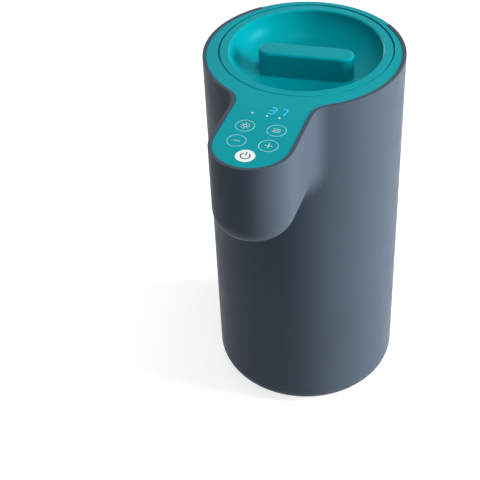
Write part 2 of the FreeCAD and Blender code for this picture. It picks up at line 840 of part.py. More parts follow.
def inner_frame():
    """The moulded frame between the base and the tank."""
    body = piece("inner_frame_moulding", back="body_back")
    post(body, "tray", "tray_under", "tray_top", "tray_radius")
    leg = post(body, "leg", "lip_top", "tray_under + 0.5", "post_radius",
               "screw_circle * cos(45)", "screw_circle * sin(45)")
    ring_of(body, "legs", leg, 4)
    ring_wall(body, "tank_guide", "tray_top - 0.5", "tray_top + guide_height",
              "tank_radius + guide_gap + guide_wall", "tank_radius + guide_gap")
    ring_wall(body, "tank_seat_ring", "tray_top - 0.5", "tank_bottom", "tank_radius - 9",
              "tank_radius - 12")
    post(body, "dock_cup", "dock_low", "tray_top", "collar_bore + dock_wall", back="lid_offset")
    drill(body, "dock_bore", "dock_low + dock_floor", "tray_top + 1", "collar_bore",
          back="lid_offset")
    post(body, "dock_spike", "dock_low", "tank_floor - 1", "spike_radius", back="lid_offset")
    post(body, "dock_barb", "barb_low", "dock_low + 0.5", "barb_radius", back="lid_offset")
    drill(body, "dock_passage", "barb_low - 1", "tank_floor + 1", "spike_bore",
          back="lid_offset")
    for side in ("-1", "1"):
        middle = f"lid_offset + {side} * (meter_radius + seat_gap + arm_thick / 2)"
        block(body, "meter_arm_" + ("front" if side == "-1" else "rear"), "meter_low + 4",
              "dock_low + 0.5", "-5", "5", f"{middle} - arm_thick / 2", f"{middle} + arm_thick / 2")
        rail = "power_board_width / 2"
        inner, outer = f"{rail} - 2", f"{rail} + 3"
        sides = (inner, outer) if side == "1" else (f"-({outer})", f"-({inner})")
        name = "board_rail_" + ("left" if side == "-1" else "right")
        block(body, name, "power_board_low - 3", "tray_under + 0.5", *sides,
              "power_board_back - 3", "power_board_back + board_thick + 3")
    block(body, "board_slot", "power_board_low - 0.2", "tray_under",
          "-(power_board_width / 2 + 0.2)", "power_board_width / 2 + 0.2",
          "power_board_back - 0.15", "power_board_back + board_thick + 0.15", cut=True)
    drill(body, "outlet_pass", "tray_under - 1", "tray_top + 1", "outlet_hose_radius + 0.4",
          "outlet_pass_side", "front_pass")
    drill(body, "cable_pass", "tray_under - 1", "tray_top + 1", "cable_radius + 0.4",
          "cable_pass_side", "front_pass")
    pilots = [corner_hole(f"leg_pilot_{number}", number, "screw_shank + 0.05", "lip_top - 1",
                          "lip_top + 14") for number in range(4)]
    keep(cut("inner_frame_drilled", body, *pilots), "inner_frame")


def ring_wall(body, name, low, high, outer, inner):
    """An upright ring about the tank's axis, on a body that stands on the trunk's axis."""
    sketch = sketch_on(body, name + "_plan", height=low)
    circle(sketch, outer, "0", "lid_offset")
    circle(sketch, inner, "0", "lid_offset")
    return pad(body, name, sketch, f"{high} - ({low})")


def dock_seal():
    """The soft ring that the tank's outlet pushes into."""
    turned("dock_seal", [
        ("spigot_radius + seat_gap", "spigot_low + 1"), ("collar_bore - 0.05", "spigot_low + 1"),
        ("collar_bore - 0.05", "spigot_low + 7"), ("spigot_radius + 1", "spigot_low + 7")],
        back="tank_back")


# Flow meter: a turbine that spins in the stream under the dock

def flow_meter():
    """The meter's body with its inlet on top and its outlet at the back, and the turbine."""
    chamber = "meter_radius - meter_wall"
    low = "meter_low + meter_wall"
    high = "meter_top - meter_wall"
    body = piece("flow_meter_cup", back="tank_back")
    turn(body, "meter_cup_form", [
        ("0", "meter_low"), ("meter_radius", "meter_low"), ("meter_radius", high),
        (chamber, high), (chamber, low), ("0", low)])
    middle = "meter_low + meter_height / 2"
    stub = across("meter_outlet", "barb_radius", "-(meter_radius + stub_length)",
                  "1 - meter_radius", middle, "tank_back")
    stub_bore = across("meter_outlet_bore", "spike_bore", "-(meter_radius + stub_length + 1)",
                       "4 - meter_radius", middle, "tank_back")
    pivot = cylinder("meter_lower_pivot", "pivot_radius + pivot_gap", "meter_low + 0.8",
                     "meter_low + 4", back="tank_back")
    keep(cut("flow_meter_body_cut", joined("meter_cup_and_stub", body, stub), stub_bore, pivot),
         "flow_meter_body")
    cap = piece("flow_meter_cap", back="tank_back")
    turn(cap, "meter_cap_form", [
        ("spike_bore", high), ("meter_radius", high), ("meter_radius", "meter_top"),
        ("barb_radius", "meter_top"), ("barb_radius", "meter_stub_top"),
        ("spike_bore", "meter_stub_top")])
    block(cap, "meter_bridge", f"{high} + 0.2", "meter_top", "-spike_bore - 0.5",
          "spike_bore + 0.5", "-1.4", "1.4")
    drill(cap, "meter_upper_pivot", f"{high} - 1", "meter_top - 0.6", "pivot_radius + pivot_gap")
    keep(cap, "flow_meter_cap")
    turbine = piece("flow_turbine", back="tank_back")
    wheel = f"{chamber} - turbine_gap"
    turn(turbine, "turbine_hub", [
        ("0", f"{low} - 1"), ("pivot_radius", f"{low} - 1"), ("pivot_radius", f"{low} + 0.4"),
        ("3", f"{low} + 0.4"), ("3", f"{high} - 0.4"), ("pivot_radius", f"{high} - 0.4"),
        ("pivot_radius", f"{high} + 1"), ("0", f"{high} + 1")])
    vane = block(turbine, "turbine_vane", f"{low} + turbine_gap", f"{high} - turbine_gap",
                 "2", wheel, "-blade_thick / 2", "blade_thick / 2")
    ring_of(turbine, "turbine_vanes", vane, 6)
    keep(turbine, "flow_turbine")


# Pump: a small centrifugal pump on a soft mount

def pump():
    """The pump's mount, head, cover, impeller on its shaft, and motor."""
    right = "pump_side"
    back = "body_back + pump_ahead"
    sleeve("pump_mount", "pump_radius - pump_mount_inset", "5", "plate_top", "pump_low", right, back)
    chamber = "pump_radius - pump_wall"
    low = "pump_low + pump_wall"
    head = piece("pump_head_cup", right, back)
    turn(head, "pump_cup_form", [
        ("0", "pump_low"), ("pump_radius", "pump_low"), ("pump_radius", "pump_top"),
        (chamber, "pump_top"), (chamber, low), ("0", low)])
    inlet = lying("pump_inlet", "barb_radius", f"{back} + pump_radius - 1",
                  f"{back} + pump_radius + stub_length", "pump_port", right)
    inlet_bore = lying("pump_inlet_bore", "spike_bore", f"{back} + pump_radius - 4",
                       f"{back} + pump_radius + stub_length + 1", "pump_port", right)
    outlet = across("pump_outlet", "barb_radius", f"{right} + pump_radius - 6",
                    f"{right} + pump_radius + stub_length - 3", "pump_port", f"{back} - outlet_aside")
    outlet_bore = across("pump_outlet_bore", "spike_bore", f"{right} + pump_radius - 8",
                         f"{right} + pump_radius + stub_length", "pump_port", f"{back} - outlet_aside")
    room = cylinder("pump_room", chamber, low, "pump_top + 1", right, back)
    solid = joined("pump_head_and_ports", head, inlet, outlet)
    keep(cut("pump_head_cut", solid, room, inlet_bore, outlet_bore), "pump_head")
    sleeve("pump_cover", "pump_radius", "shaft_radius + shaft_gap", "pump_top", "cover_top",
           right, back)
    rotor = piece("pump_impeller", right, back)
    base = f"{low} + 1"
    turn(rotor, "impeller_disc", [
        ("0", base), (f"{chamber} - impeller_gap", base),
        (f"{chamber} - impeller_gap", f"{base} + 1.5"), ("4", f"{base} + 1.5"),
        ("4", "pump_top - 1"), ("shaft_radius", "pump_top - 1"),
        ("shaft_radius", f"{base} + shaft_length"), ("0", f"{base} + shaft_length")])
    blade = block(rotor, "impeller_blade", f"{base} + 1", "pump_top - 1.5", "3",
                  f"{chamber} - impeller_gap - 0.5", "-blade_thick / 2", "blade_thick / 2")
    ring_of(rotor, "impeller_blades", blade, 6)
    keep(rotor, "pump_impeller")
    turned("pump_motor", [
        ("shaft_radius + shaft_gap", "cover_top"), ("motor_radius", "cover_top"),
        ("motor_radius", "cover_top + motor_height - 2"),
        ("motor_radius - 2", "cover_top + motor_height"),
        ("4", "cover_top + motor_height"), ("4", "cover_top + motor_height + 3"),
        ("0", "cover_top + motor_height + 3"), ("0", f"{base} + shaft_length + 1"),
        ("shaft_radius + shaft_gap", f"{base} + shaft_length + 1")], None, right, back)


# Heater: water runs up through a finned tube round a heating rod

def heater():
    """The finned tube, its rod, two end caps, the bracket and the small parts on it."""
    right = "heater_side"
    back = "body_back + heater_ahead"
    body = piece("heater_body", right, back)
    turn(body, "heater_tube", [
        ("heater_bore", "heater_low"), ("heater_radius", "heater_low"),
        ("heater_radius", "heater_top"), ("heater_bore", "heater_top")])
    fin = block(body, "heater_fin", "heater_low + 8", "heater_top - 8", "heater_radius - 0.5",
                "heater_radius + fin_height", "-fin_thick / 2", "fin_thick / 2")
    ring_of(body, "heater_fins", fin, int(value("fin_count")))
    keep(body, "heater_body")
    bottom = "heater_low - heater_cap"
    turned("heater_element", [
        ("0", f"{bottom} + 2.5"), ("element_radius", f"{bottom} + 2.5"),
        ("element_radius", "heater_top + 2"), ("2", "heater_top + 4"),
        ("2", "heater_top + heater_cap + 6"), ("0", "heater_top + heater_cap + 6")],
        None, right, back)
    cup = piece("heater_lower_cup", right, back)
    turn(cup, "heater_lower_form", [
        ("0", bottom), ("heater_radius + heater_cap_lip", bottom),
        ("heater_radius + heater_cap_lip", "heater_low"), ("heater_bore", "heater_low"),
        ("heater_bore", f"{bottom} + 2.5"), ("0", f"{bottom} + 2.5")])
    inlet = across("heater_inlet", "barb_radius", f"{right} - heater_radius - stub_length",
                   f"{right} - heater_radius + 1", "heater_port", back)
    bore = across("heater_inlet_bore", "spike_bore", f"{right} - heater_radius - stub_length - 1",
                  f"{right} - heater_bore + 1", "heater_port", back)
    keep(cut("heater_lower_cut", joined("heater_lower_and_inlet", cup, inlet), bore),
         "heater_lower_cap")
    cap_top = "heater_top + heater_cap"
    upper = piece("heater_upper_cup", right, back)
    turn(upper, "heater_upper_form", [
        ("heater_bore", "heater_top"), ("heater_radius + heater_cap_lip", "heater_top"),
        ("heater_radius + heater_cap_lip", cap_top), ("2.1", cap_top),
        ("2.1", f"{cap_top} - 2.5"), ("heater_bore", f"{cap_top} - 2.5")])
    outlet = lying("heater_outlet", "outlet_barb", f"{back} - heater_radius - stub_length",
                   f"{back} - heater_radius", f"{cap_top} - 5", right)
    outlet_bore = lying("heater_outlet_bore", "spike_bore",
                        f"{back} - heater_radius - stub_length - 1", f"{back} - heater_bore + 1",
                        f"{cap_top} - 5", right)
    keep(cut("heater_upper_cut", joined("heater_upper_and_outlet", upper, outlet), outlet_bore),
         "heater_upper_cap")
    sleeve("heater_bracket", "heater_radius + heater_cap_lip", "heater_bore", "plate_top", bottom,
           right, back)


def heater_guards():
    """Two thermal cut-outs and two temperature sensors, strapped against the heater's caps."""
    back = "body_back + heater_ahead"
    edge = "heater_side + heater_radius + heater_cap_lip"
    cutouts = []
    for number, height in enumerate(("heater_low - 5", "heater_top + 5")):
        cutouts.append(across(f"thermal_cutout_{number}", "3.6", edge, f"{edge} + 5", height, back))
    group("thermal_cutouts", *cutouts)
    sensors = []
    rear = f"{back} + heater_radius + heater_cap_lip"
    for number, height in enumerate(("heater_low - 5", "heater_top + 5")):
        sensors.append(lying(f"temperature_sensor_{number}", "1.8", rear, f"{rear} + 7", height,
                             "heater_side"))
    group("temperature_sensors", *sensors)


# Hoses

def hoses():
    """The four soft hoses that carry the water from the dock to the nozzle."""
    sleeve("hose_dock_to_meter", "hose_radius", "hose_bore", "meter_top + 0.5", "dock_low - 0.3",
           back="tank_back")
    middle = "meter_low + meter_height / 2"
    pump_back = "body_back + pump_ahead"
    turn_back = f"{pump_back} + 34"
    tube("hose_meter_to_pump",
         [("-(meter_radius + 0.5)", "tank_back", middle), ("pump_side - 6", "tank_back", middle),
          ("pump_side - 6", turn_back, f"{middle} - 48"), ("pump_side", turn_back, "pump_port"),
          ("pump_side", f"{pump_back} + pump_radius + 0.5", "pump_port")],
         ("10", "50", "10"), "hose_radius", "hose_bore")
    heater_back = "body_back + heater_ahead"
    left = "pump_side + pump_radius + 1"
    right = "heater_side - heater_radius - heater_cap_lip - 0.5"
    outer = across("short_hose_outer", "hose_radius", left, right, "pump_port", heater_back)
    bore = across("short_hose_bore", "hose_bore", f"{left} - 1", f"{right} + 1", "pump_port",
                  heater_back)
    keep(cut("short_hose_drilled", outer, bore), "hose_pump_to_heater")
    port = "heater_top + heater_cap - 5"
    tube("hose_heater_to_nozzle",
         [("heater_side", f"{heater_back} - heater_radius - heater_cap_lip - 0.5", port),
          ("heater_side", "body_back - 52", port),
          ("outlet_pass_side", "body_back + front_pass", f"{port} + 34"),
          ("outlet_pass_side", "body_back + front_pass", "spout_floor + 34"),
          ("0", "spout_back", "spout_floor + 34"),
          ("0", "spout_back", "spout_floor + nozzle_flange_thick + 0.5")],
         ("9", "14", "14", "14"), "outlet_hose_radius", "outlet_hose_bore")


# Nozzle

def nozzle():
    """The outlet under the spout and the ring that seals it."""
    low = "spout_underside - nozzle_proud"
    shelf = "spout_floor + nozzle_flange_thick"
    turned("nozzle", [
        ("nozzle_bore", low), ("nozzle_radius - 1.5", low), ("nozzle_radius", f"{low} + 1.5"),
        ("nozzle_radius", "spout_floor"), ("nozzle_flange", "spout_floor"),
        ("nozzle_flange", shelf), ("outlet_barb", shelf),
        ("outlet_barb", f"{shelf} + nozzle_stem"), ("nozzle_bore", f"{shelf} + nozzle_stem")],
        back="spout_back")


# Boards, springs, display, sensor and cable

def control_panel():
    """The touch board under the deck, with its springs, display and screws."""
    board = piece("control_board_blank", back="body_back")
    plan = sketch_on(board, "control_board_plan", height="board_top - board_thick")
    half = "control_board_width / 2"
    outline(plan, [(half, "control_board_back"), (f"-{half}", "control_board_back"),
                   (f"-{half}", "-neck_reach"), (half, "-neck_reach")],
            {2: ("0", "-neck_reach", True)})
    pad(board, "control_board_pad", plan, "board_thick")
    holes = [cylinder(f"control_board_hole_{number}", "1.4", "board_top - 3", "board_top + 1",
                      side, back) for number, (side, back) in enumerate(board_corners())]
    keep(cut("control_board_drilled", board, *holes), "control_board")
    screws = []
    for number, (side, back) in enumerate(board_corners()):
        screw = piece(f"board_screw_{number}", side, back)
        turn(screw, f"board_screw_form_{number}", [
            ("0", "board_top - board_thick - 1.6"), ("2.2", "board_top - board_thick - 1.6"),
            ("2.2", "board_top - board_thick"), ("1", "board_top - board_thick"),
            ("1", "deck_under - 2"), ("0", "deck_under - 2")])
        screws.append(screw)
    group("control_board_screws", *screws)
    places = [("0", "key_power"), ("key_side", "key_front"), ("-key_side", "key_front"),
              ("key_side", "key_middle"), ("-key_side", "key_middle")]
    springs = []
    for number, (side, ahead) in enumerate(places):
        spring = piece(f"touch_spring_{number}", side, f"body_back + {ahead}")
        turn(spring, f"touch_spring_form_{number}", [
            ("2.2", "board_top"), ("3.4", "board_top"), ("key_radius - 2", "deck_under - 1"),
            ("key_radius - 2", "deck_under - 0.1"), ("0", "deck_under - 0.1"),
            ("0", "deck_under - 1"), ("key_radius - 3.2", "deck_under - 1")])
        springs.append(spring)
    group("touch_springs", *springs)
    display = box("display_block", "-7", "13", "body_back - 91", "body_back - 79.5", "board_top",
                  "deck_under - 0.2")
    keep(display, "display_module")


def power_electronics():
    """The mains board in its rails, what stands on it, and the cable up to the panel."""
    face = "body_back + power_board_back"
    half = "power_board_width / 2"
    board = box("power_board_blank", f"-({half})", half, face, f"{face} + board_thick",
                "power_board_low", "power_board_low + power_board_height")
    keep(board, "power_board")
    low = "power_board_low"
    parts = [
        box("transformer", "-24", "-2", f"{face} - 18", face, f"{low} + 8", f"{low} + 30"),
        box("relay", "4", "22", f"{face} - 15", face, f"{low} + 8", f"{low} + 26"),
        box("mains_terminal", "-24", "4", f"{face} - 9", face, f"{low} + 66", f"{low} + 78"),
        box("cable_socket", "12", "26", f"{face} - 7", face, f"{low} + 68", f"{low} + 76"),
        lying("large_capacitor", "7", f"{face} - 19", face, f"{low} + 46", "-14"),
        lying("small_capacitor", "4.5", f"{face} - 13", face, f"{low} + 44", "14"),
    ]
    group("power_board_parts", *parts)
    tube("control_cable",
         [("19", f"{face} - 7.2", f"{low} + 72"), ("19", "body_back + 37", f"{low} + 72"),
          ("22", "body_back + 29", "tray_under - 12"), ("22", "body_back - 47", "tray_under - 12"),
          ("cable_pass_side", "body_back + front_pass", "tray_under - 12"),
          ("cable_pass_side", "body_back + front_pass", "board_top - 14"),
          ("cable_pass_side", "body_back + control_board_back - 6", "board_top - 14"),
          ("cable_pass_side", "body_back + control_board_back - 6",
           "board_top - board_thick - 0.2")],
         ("4", "10", "12", "12", "7", "5"), "cable_radius", "0.5")
    level = box("level_board", "-(tank_radius + guide_gap + guide_wall + 4)",
                "-(tank_radius + guide_gap + guide_wall + 0.05)", "tank_back - 6", "tank_back + 6",
                "tray_top", "tray_top + guide_height")
    keep(level, "level_sensor")


# Cord inlet at the rear

def cord_inlet():
    """The bush that the mains cord would come through, and its nut inside the shell."""
    rear = "body_back + body_radius"
    flange = lying("gland_flange_disc", "gland_flange", rear, f"{rear} + gland_proud",
                   "gland_height")
    barrel = lying("gland_barrel", "gland_radius", f"{rear} - gland_inner", f"{rear} + 0.5",
                   "gland_height")
    bore = lying("gland_bore_tool", "gland_bore", f"{rear} - gland_inner - 1",
                 f"{rear} + gland_proud + 1", "gland_height")
    keep(cut("gland_cut", joined("gland_solid", flange, barrel), bore), "cord_gland")
    nut = lying("nut_disc", "gland_flange", f"{rear} - shell_wall - nut_thick - 1",
                f"{rear} - shell_wall - 1", "gland_height")
    nut_bore = lying("nut_bore_tool", "gland_radius + 0.05", f"{rear} - shell_wall - nut_thick - 2",
                     f"{rear} - shell_wall", "gland_height")
    keep(cut("nut_cut", nut, nut_bore), "gland_nut")


housing_shell()
base_plate()
feet_and_screws()
top_deck()
lid()
lid_seal()
water_tank()
tank_fittings()
inner_frame()
dock_seal()
flow_meter()
pump()
heater()
heater_guards()
hoses()
nozzle()
control_panel()
power_electronics()
cord_inlet()
doc.recompute()


# Check every object, then write one file for each piece

def check(thing):
    """Stop if an object failed to build."""
    bad = [state for state in thing.State if state in ("Invalid", "Error")]
    if bad:
        raise RuntimeError(f"{thing.Label} is {bad}")


for thing in doc.Objects:
    check(thing)
os.makedirs("parts", exist_ok=True)
for node in nodes:
    shape = node.Shape
    if shape.isNull() or not shape.isValid() or not shape.Solids:
        raise RuntimeError(f"{node.Label} has no valid solid")
    shape.exportStep(f"parts/{node.Label}.step")
    print(f"{node.Label:24s} solids {len(shape.Solids)} volume {shape.Volume:12.1f}")
print("nodes", len(nodes))
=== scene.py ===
"""Looks of the baby formula maker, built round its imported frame."""

import math

import bmesh
import bpy
from mathutils import Matrix, Vector


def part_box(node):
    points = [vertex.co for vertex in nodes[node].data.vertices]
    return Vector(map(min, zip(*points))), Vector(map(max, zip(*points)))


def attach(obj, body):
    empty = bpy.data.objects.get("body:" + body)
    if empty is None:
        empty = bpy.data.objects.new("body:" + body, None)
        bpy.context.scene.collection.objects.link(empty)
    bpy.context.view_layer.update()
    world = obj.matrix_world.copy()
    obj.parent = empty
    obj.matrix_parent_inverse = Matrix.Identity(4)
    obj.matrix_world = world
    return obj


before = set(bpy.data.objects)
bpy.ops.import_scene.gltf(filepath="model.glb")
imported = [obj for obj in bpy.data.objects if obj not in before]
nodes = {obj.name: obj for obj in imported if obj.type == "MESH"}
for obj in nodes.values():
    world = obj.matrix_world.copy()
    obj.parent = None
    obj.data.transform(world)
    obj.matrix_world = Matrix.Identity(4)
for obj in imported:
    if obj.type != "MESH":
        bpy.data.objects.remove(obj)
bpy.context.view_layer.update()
scene = bpy.context.scene
scene.view_settings.view_transform = "Standard"

# The camera stands to the front right of the machine and looks down on it.
# Its place, tilt and lens come from matching the outlines of the rim, the base and the spout.
camera_place = Vector((0.2143, -0.6758, 0.7546))
camera_turn = math.radians(20.925)
camera_tilt = math.radians(40.243)
camera_roll = math.radians(-3.022)
focal_pixels = 1164.1
image_pixels = 480
sensor_millimetres = 36
camera_data = bpy.data.cameras.new("camera")
camera_data.sensor_width = sensor_millimetres
camera_data.lens = focal_pixels / image_pixels * sensor_millimetres
camera_data.clip_start = 0.01
camera = bpy.data.objects.new("camera", camera_data)
scene.collection.objects.link(camera)
turned = Matrix.Rotation(camera_turn, 4, "Z") @ Matrix.Rotation(math.pi / 2 - camera_tilt, 4, "X")
camera.matrix_world = Matrix.Translation(camera_place) @ turned @ Matrix.Rotation(camera_roll, 4, "Z")
scene.camera = camera

# Studio: a pale floor, a large soft box at the right and weaker ones at the left, above,
# in front and behind. The floor and the world are white to the camera, mirrors and glass,
# and plain soft light to everything else.
sky_colour = (0.92, 0.95, 1.0, 1)
sky_strength = 0.15
white = (1, 1, 1, 1)
white_strength = 1.0
floor_radius = 6
floor_grey = (0.5, 0.5, 0.5, 1)
floor_glow = 0.76
machine_middle = (0, 0, 0.16)
machine_top = (0, 0.04, 0.3)


def backdrop_light(tree):
    """One for rays that come from the camera, a mirror or glass, and zero for the rest."""
    rays = tree.nodes.new("ShaderNodeLightPath")
    shown = rays.outputs["Is Camera Ray"]
    for kind in ("Is Transmission Ray", "Is Glossy Ray"):
        larger = tree.nodes.new("ShaderNodeMath")
        larger.operation = "MAXIMUM"
        tree.links.new(shown, larger.inputs[0])
        tree.links.new(rays.outputs[kind], larger.inputs[1])
        shown = larger.outputs[0]
    return shown


world = bpy.data.worlds.new("studio")
scene.world = world
world.use_nodes = True
sky = world.node_tree
sky.nodes.clear()
soft_light = sky.nodes.new("ShaderNodeBackground")
soft_light.inputs["Color"].default_value = sky_colour
soft_light.inputs["Strength"].default_value = sky_strength
seen_light = sky.nodes.new("ShaderNodeBackground")
seen_light.inputs["Color"].default_value = white
seen_light.inputs["Strength"].default_value = white_strength
mixed = sky.nodes.new("ShaderNodeMixShader")
sky.links.new(backdrop_light(sky), mixed.inputs["Fac"])
sky.links.new(soft_light.outputs[0], mixed.inputs[1])
sky.links.new(seen_light.outputs[0], mixed.inputs[2])
sky_output = sky.nodes.new("ShaderNodeOutputWorld")
sky.links.new(mixed.outputs[0], sky_output.inputs["Surface"])

floor_mesh = bpy.data.meshes.new("floor")
floor_form = bmesh.new()
bmesh.ops.create_circle(floor_form, cap_ends=True, segments=64, radius=floor_radius)
floor_form.to_mesh(floor_mesh)
floor_form.free()
floor = bpy.data.objects.new("floor", floor_mesh)
scene.collection.objects.link(floor)
floor_paint = bpy.data.materials.new("floor_paint")
floor_paint.use_nodes = True
tree = floor_paint.node_tree
tree.nodes.clear()
matt = tree.nodes.new("ShaderNodeBsdfDiffuse")
matt.inputs["Color"].default_value = floor_grey
glow = tree.nodes.new("ShaderNodeEmission")
glow_share = tree.nodes.new("ShaderNodeMath")
glow_share.operation = "MULTIPLY"
glow_share.inputs[1].default_value = floor_glow
tree.links.new(backdrop_light(tree), glow_share.inputs[0])
tree.links.new(glow_share.outputs[0], glow.inputs["Strength"])
both = tree.nodes.new("ShaderNodeAddShader")
tree.links.new(matt.outputs[0], both.inputs[0])
tree.links.new(glow.outputs[0], both.inputs[1])
floor_output = tree.nodes.new("ShaderNodeOutputMaterial")
tree.links.new(both.outputs[0], floor_output.inputs["Surface"])
floor_mesh.materials.append(floor_paint)


def soft_box(name, place, target, width, height, power):
    """A rectangular lamp that faces a point on the machine."""
    lamp = bpy.data.lights.new(name, "AREA")
    lamp.shape = "RECTANGLE"
    lamp.size = width
    lamp.size_y = height
    lamp.energy = power
    holder = bpy.data.objects.new(name, lamp)
    scene.collection.objects.link(holder)
    holder.location = place
    holder.rotation_euler = (Vector(target) - Vector(place)).to_track_quat("-Z", "Y").to_euler()


soft_box("right_box", (1.32, 0.20, 0.45), machine_middle, width=0.5, height=1.0, power=41)
soft_box("left_box", (-1.1, -1.1, 0.8), machine_middle, width=0.8, height=1.0, power=0.7)
soft_box("top_box", (0.25, -0.15, 1.45), machine_top, width=0.6, height=0.6, power=7.8)
soft_box("front_box", (0.95, -1.2, 0.6), machine_middle, width=0.6, height=0.8, power=1.8)
soft_box("rear_box", (-1.05, 1.05, 0.36), machine_middle, width=0.8, height=0.6, power=7)

# Housing shell: one injection moulding, a round trunk with the spout at its front.
# Dark slate ABS with a fine satin texture from the mould and slightly polished patches.
noise_low = 0.3
noise_high = 0.7
dark_end = 0.35
light_end = 0.65
cloud_scale = 18
mark_scale = 60
plastic_ior = 1.5
slate_colour = (0.056, 0.077, 0.104)
slate_gloss = 0.07


def shader_of(name):
    """A new material, its node tree and its main shader."""
    material = bpy.data.materials.new(name)
    material.use_nodes = True
    tree = material.node_tree
    return material, tree, tree.nodes["Principled BSDF"]


def place_of(tree, stretch=(1, 1, 1)):
    """The point on the piece in its own frame, with each direction stretched."""
    coordinates = tree.nodes.new("ShaderNodeTexCoord")
    mapping = tree.nodes.new("ShaderNodeMapping")
    mapping.inputs["Scale"].default_value = stretch
    tree.links.new(coordinates.outputs["Object"], mapping.inputs["Vector"])
    return mapping.outputs["Vector"]


def mottle(tree, place, scale, detail):
    """Soft irregular spots of one size."""
    spots = tree.nodes.new("ShaderNodeTexNoise")
    spots.inputs["Scale"].default_value = scale
    spots.inputs["Detail"].default_value = detail
    tree.links.new(place, spots.inputs["Vector"])
    return spots.outputs["Fac"]


def between(tree, amount, low, high):
    """A number that runs from low to high with the amount."""
    spread = tree.nodes.new("ShaderNodeMapRange")
    spread.inputs["From Min"].default_value = noise_low
    spread.inputs["From Max"].default_value = noise_high
    spread.inputs["To Min"].default_value = low
    spread.inputs["To Max"].default_value = high
    tree.links.new(amount, spread.inputs["Value"])
    return spread.outputs["Result"]


def two_tones(tree, amount, dark, light):
    """A colour that runs from dark to light with the amount."""
    ramp = tree.nodes.new("ShaderNodeValToRGB")
    ramp.color_ramp.elements[0].position = dark_end
    ramp.color_ramp.elements[0].color = (*dark, 1)
    ramp.color_ramp.elements[1].position = light_end
    ramp.color_ramp.elements[1].color = (*light, 1)
    tree.links.new(amount, ramp.inputs["Fac"])
    return ramp.outputs["Color"]


def raised(tree, shader, height, depth):
    """Relief of a real depth, in metres, on the shader."""
    bump = tree.nodes.new("ShaderNodeBump")
    bump.inputs["Strength"].default_value = 1.0
    bump.inputs["Distance"].default_value = depth
    tree.links.new(height, bump.inputs["Height"])
    tree.links.new(bump.outputs["Normal"], shader.inputs["Normal"])


def moulded(name, colour, roughness, grain_scale, grain_depth, variety=0.08):
    """Moulded plastic: an even colour, a fine mould texture and faint rubbed marks."""
    material, tree, shader = shader_of(name)
    place = place_of(tree)
    dark = [part * (1 - variety) for part in colour]
    light = [part * (1 + variety) for part in colour]
    cloud = mottle(tree, place, cloud_scale, detail=4)
    tree.links.new(two_tones(tree, cloud, dark, light), shader.inputs["Base Color"])
    marks = mottle(tree, place, mark_scale, detail=6)
    shine = between(tree, marks, roughness - 0.04, roughness + 0.05)
    tree.links.new(shine, shader.inputs["Roughness"])
    raised(tree, shader, mottle(tree, place, grain_scale, detail=2), grain_depth)
    shader.inputs["IOR"].default_value = plastic_ior
    return material, shader


def finish(node, material):
    """Gives a carried-over piece its material."""
    slots = nodes[node].data.materials
    slots.clear()
    slots.append(material)


slate_plastic, shader = moulded("slate_plastic", slate_colour, roughness=0.46, grain_scale=2600,
                                grain_depth=0.000008, variety=0.03)
shader.inputs["Specular IOR Level"].default_value = slate_gloss
finish("housing_shell", slate_plastic)

# Base plate, feet and screws: a black moulded plate that closes the bottom.
# Zinc-plated screws hold it to the inner frame, and a soft rubber foot is glued over each.
black_colour = (0.018, 0.019, 0.021)
rubber_colour = (0.014, 0.014, 0.014)
zinc_colour = (0.62, 0.63, 0.66)
black_plastic, shader = moulded("black_plastic", black_colour, roughness=0.5, grain_scale=1800,
                                grain_depth=0.00003)
finish("base_plate", black_plastic)


def soft_rubber(name, colour, roughness):
    """Black rubber: dull, with a dusty bloom and a fine sand-like skin."""
    material, tree, shader = shader_of(name)
    place = place_of(tree)
    bloom = mottle(tree, place, 90, detail=6)
    light = [part * 1.8 + 0.004 for part in colour]
    tree.links.new(two_tones(tree, bloom, colour, light), shader.inputs["Base Color"])
    tree.links.new(between(tree, bloom, roughness, roughness + 0.15), shader.inputs["Roughness"])
    raised(tree, shader, mottle(tree, place, 1500, detail=2), 0.00004)
    return material


foot_rubber = soft_rubber("foot_rubber", rubber_colour, roughness=0.7)
finish("rubber_feet", foot_rubber)


def worked_metal(name, colour, roughness, stretch, grain_scale, grain_depth):
    """Bare metal whose fine lines run along the direction that is stretched least."""
    material, tree, shader = shader_of(name)
    lines = mottle(tree, place_of(tree, stretch), grain_scale, detail=3)
    dark = [part * 0.86 for part in colour]
    tree.links.new(two_tones(tree, lines, dark, colour), shader.inputs["Base Color"])
    tarnish = mottle(tree, place_of(tree), 120, detail=4)
    tree.links.new(between(tree, tarnish, roughness - 0.06, roughness + 0.1), shader.inputs["Roughness"])
    raised(tree, shader, lines, grain_depth)
    shader.inputs["Metallic"].default_value = 1.0
    return material


screw_steel = worked_metal("screw_steel", zinc_colour, roughness=0.3, stretch=(1, 1, 1), grain_scale=700,
                           grain_depth=0.00001)
finish("base_screws", screw_steel)

# Top deck: the teal moulding that closes the shell's top and carries the touch keys.
# It is glossier than the shell, and its colour goes right through and tints the gloss.
teal_colour = (0.0, 0.30, 0.345)
teal_gloss = 0.1
teal_gloss_colour = (0.05, 0.95, 1.0, 1)
teal_plastic, shader = moulded("teal_plastic", teal_colour, roughness=0.30, grain_scale=2200,
                               grain_depth=0.000004, variety=0.05)
shader.inputs["Specular IOR Level"].default_value = teal_gloss
shader.inputs["Specular Tint"].default_value = teal_gloss_colour
finish("top_deck", teal_plastic)

# Lid and grip bar: one moulding in the same teal as the deck, a dish with a bar across it.
# It drops into the tank's mouth, and the seal under its edge wipes the tank's wall.
finish("lid", teal_plastic)

# Seals, outlet valve and hoses: milky food-grade silicone, moulded or extruded.
# The hoses are pushed over barbs, and the rest sits in its seats with no glue.
silicone_colour = (0.72, 0.75, 0.76)
silicone_ior = 1.41
silicone_depth = 0.004


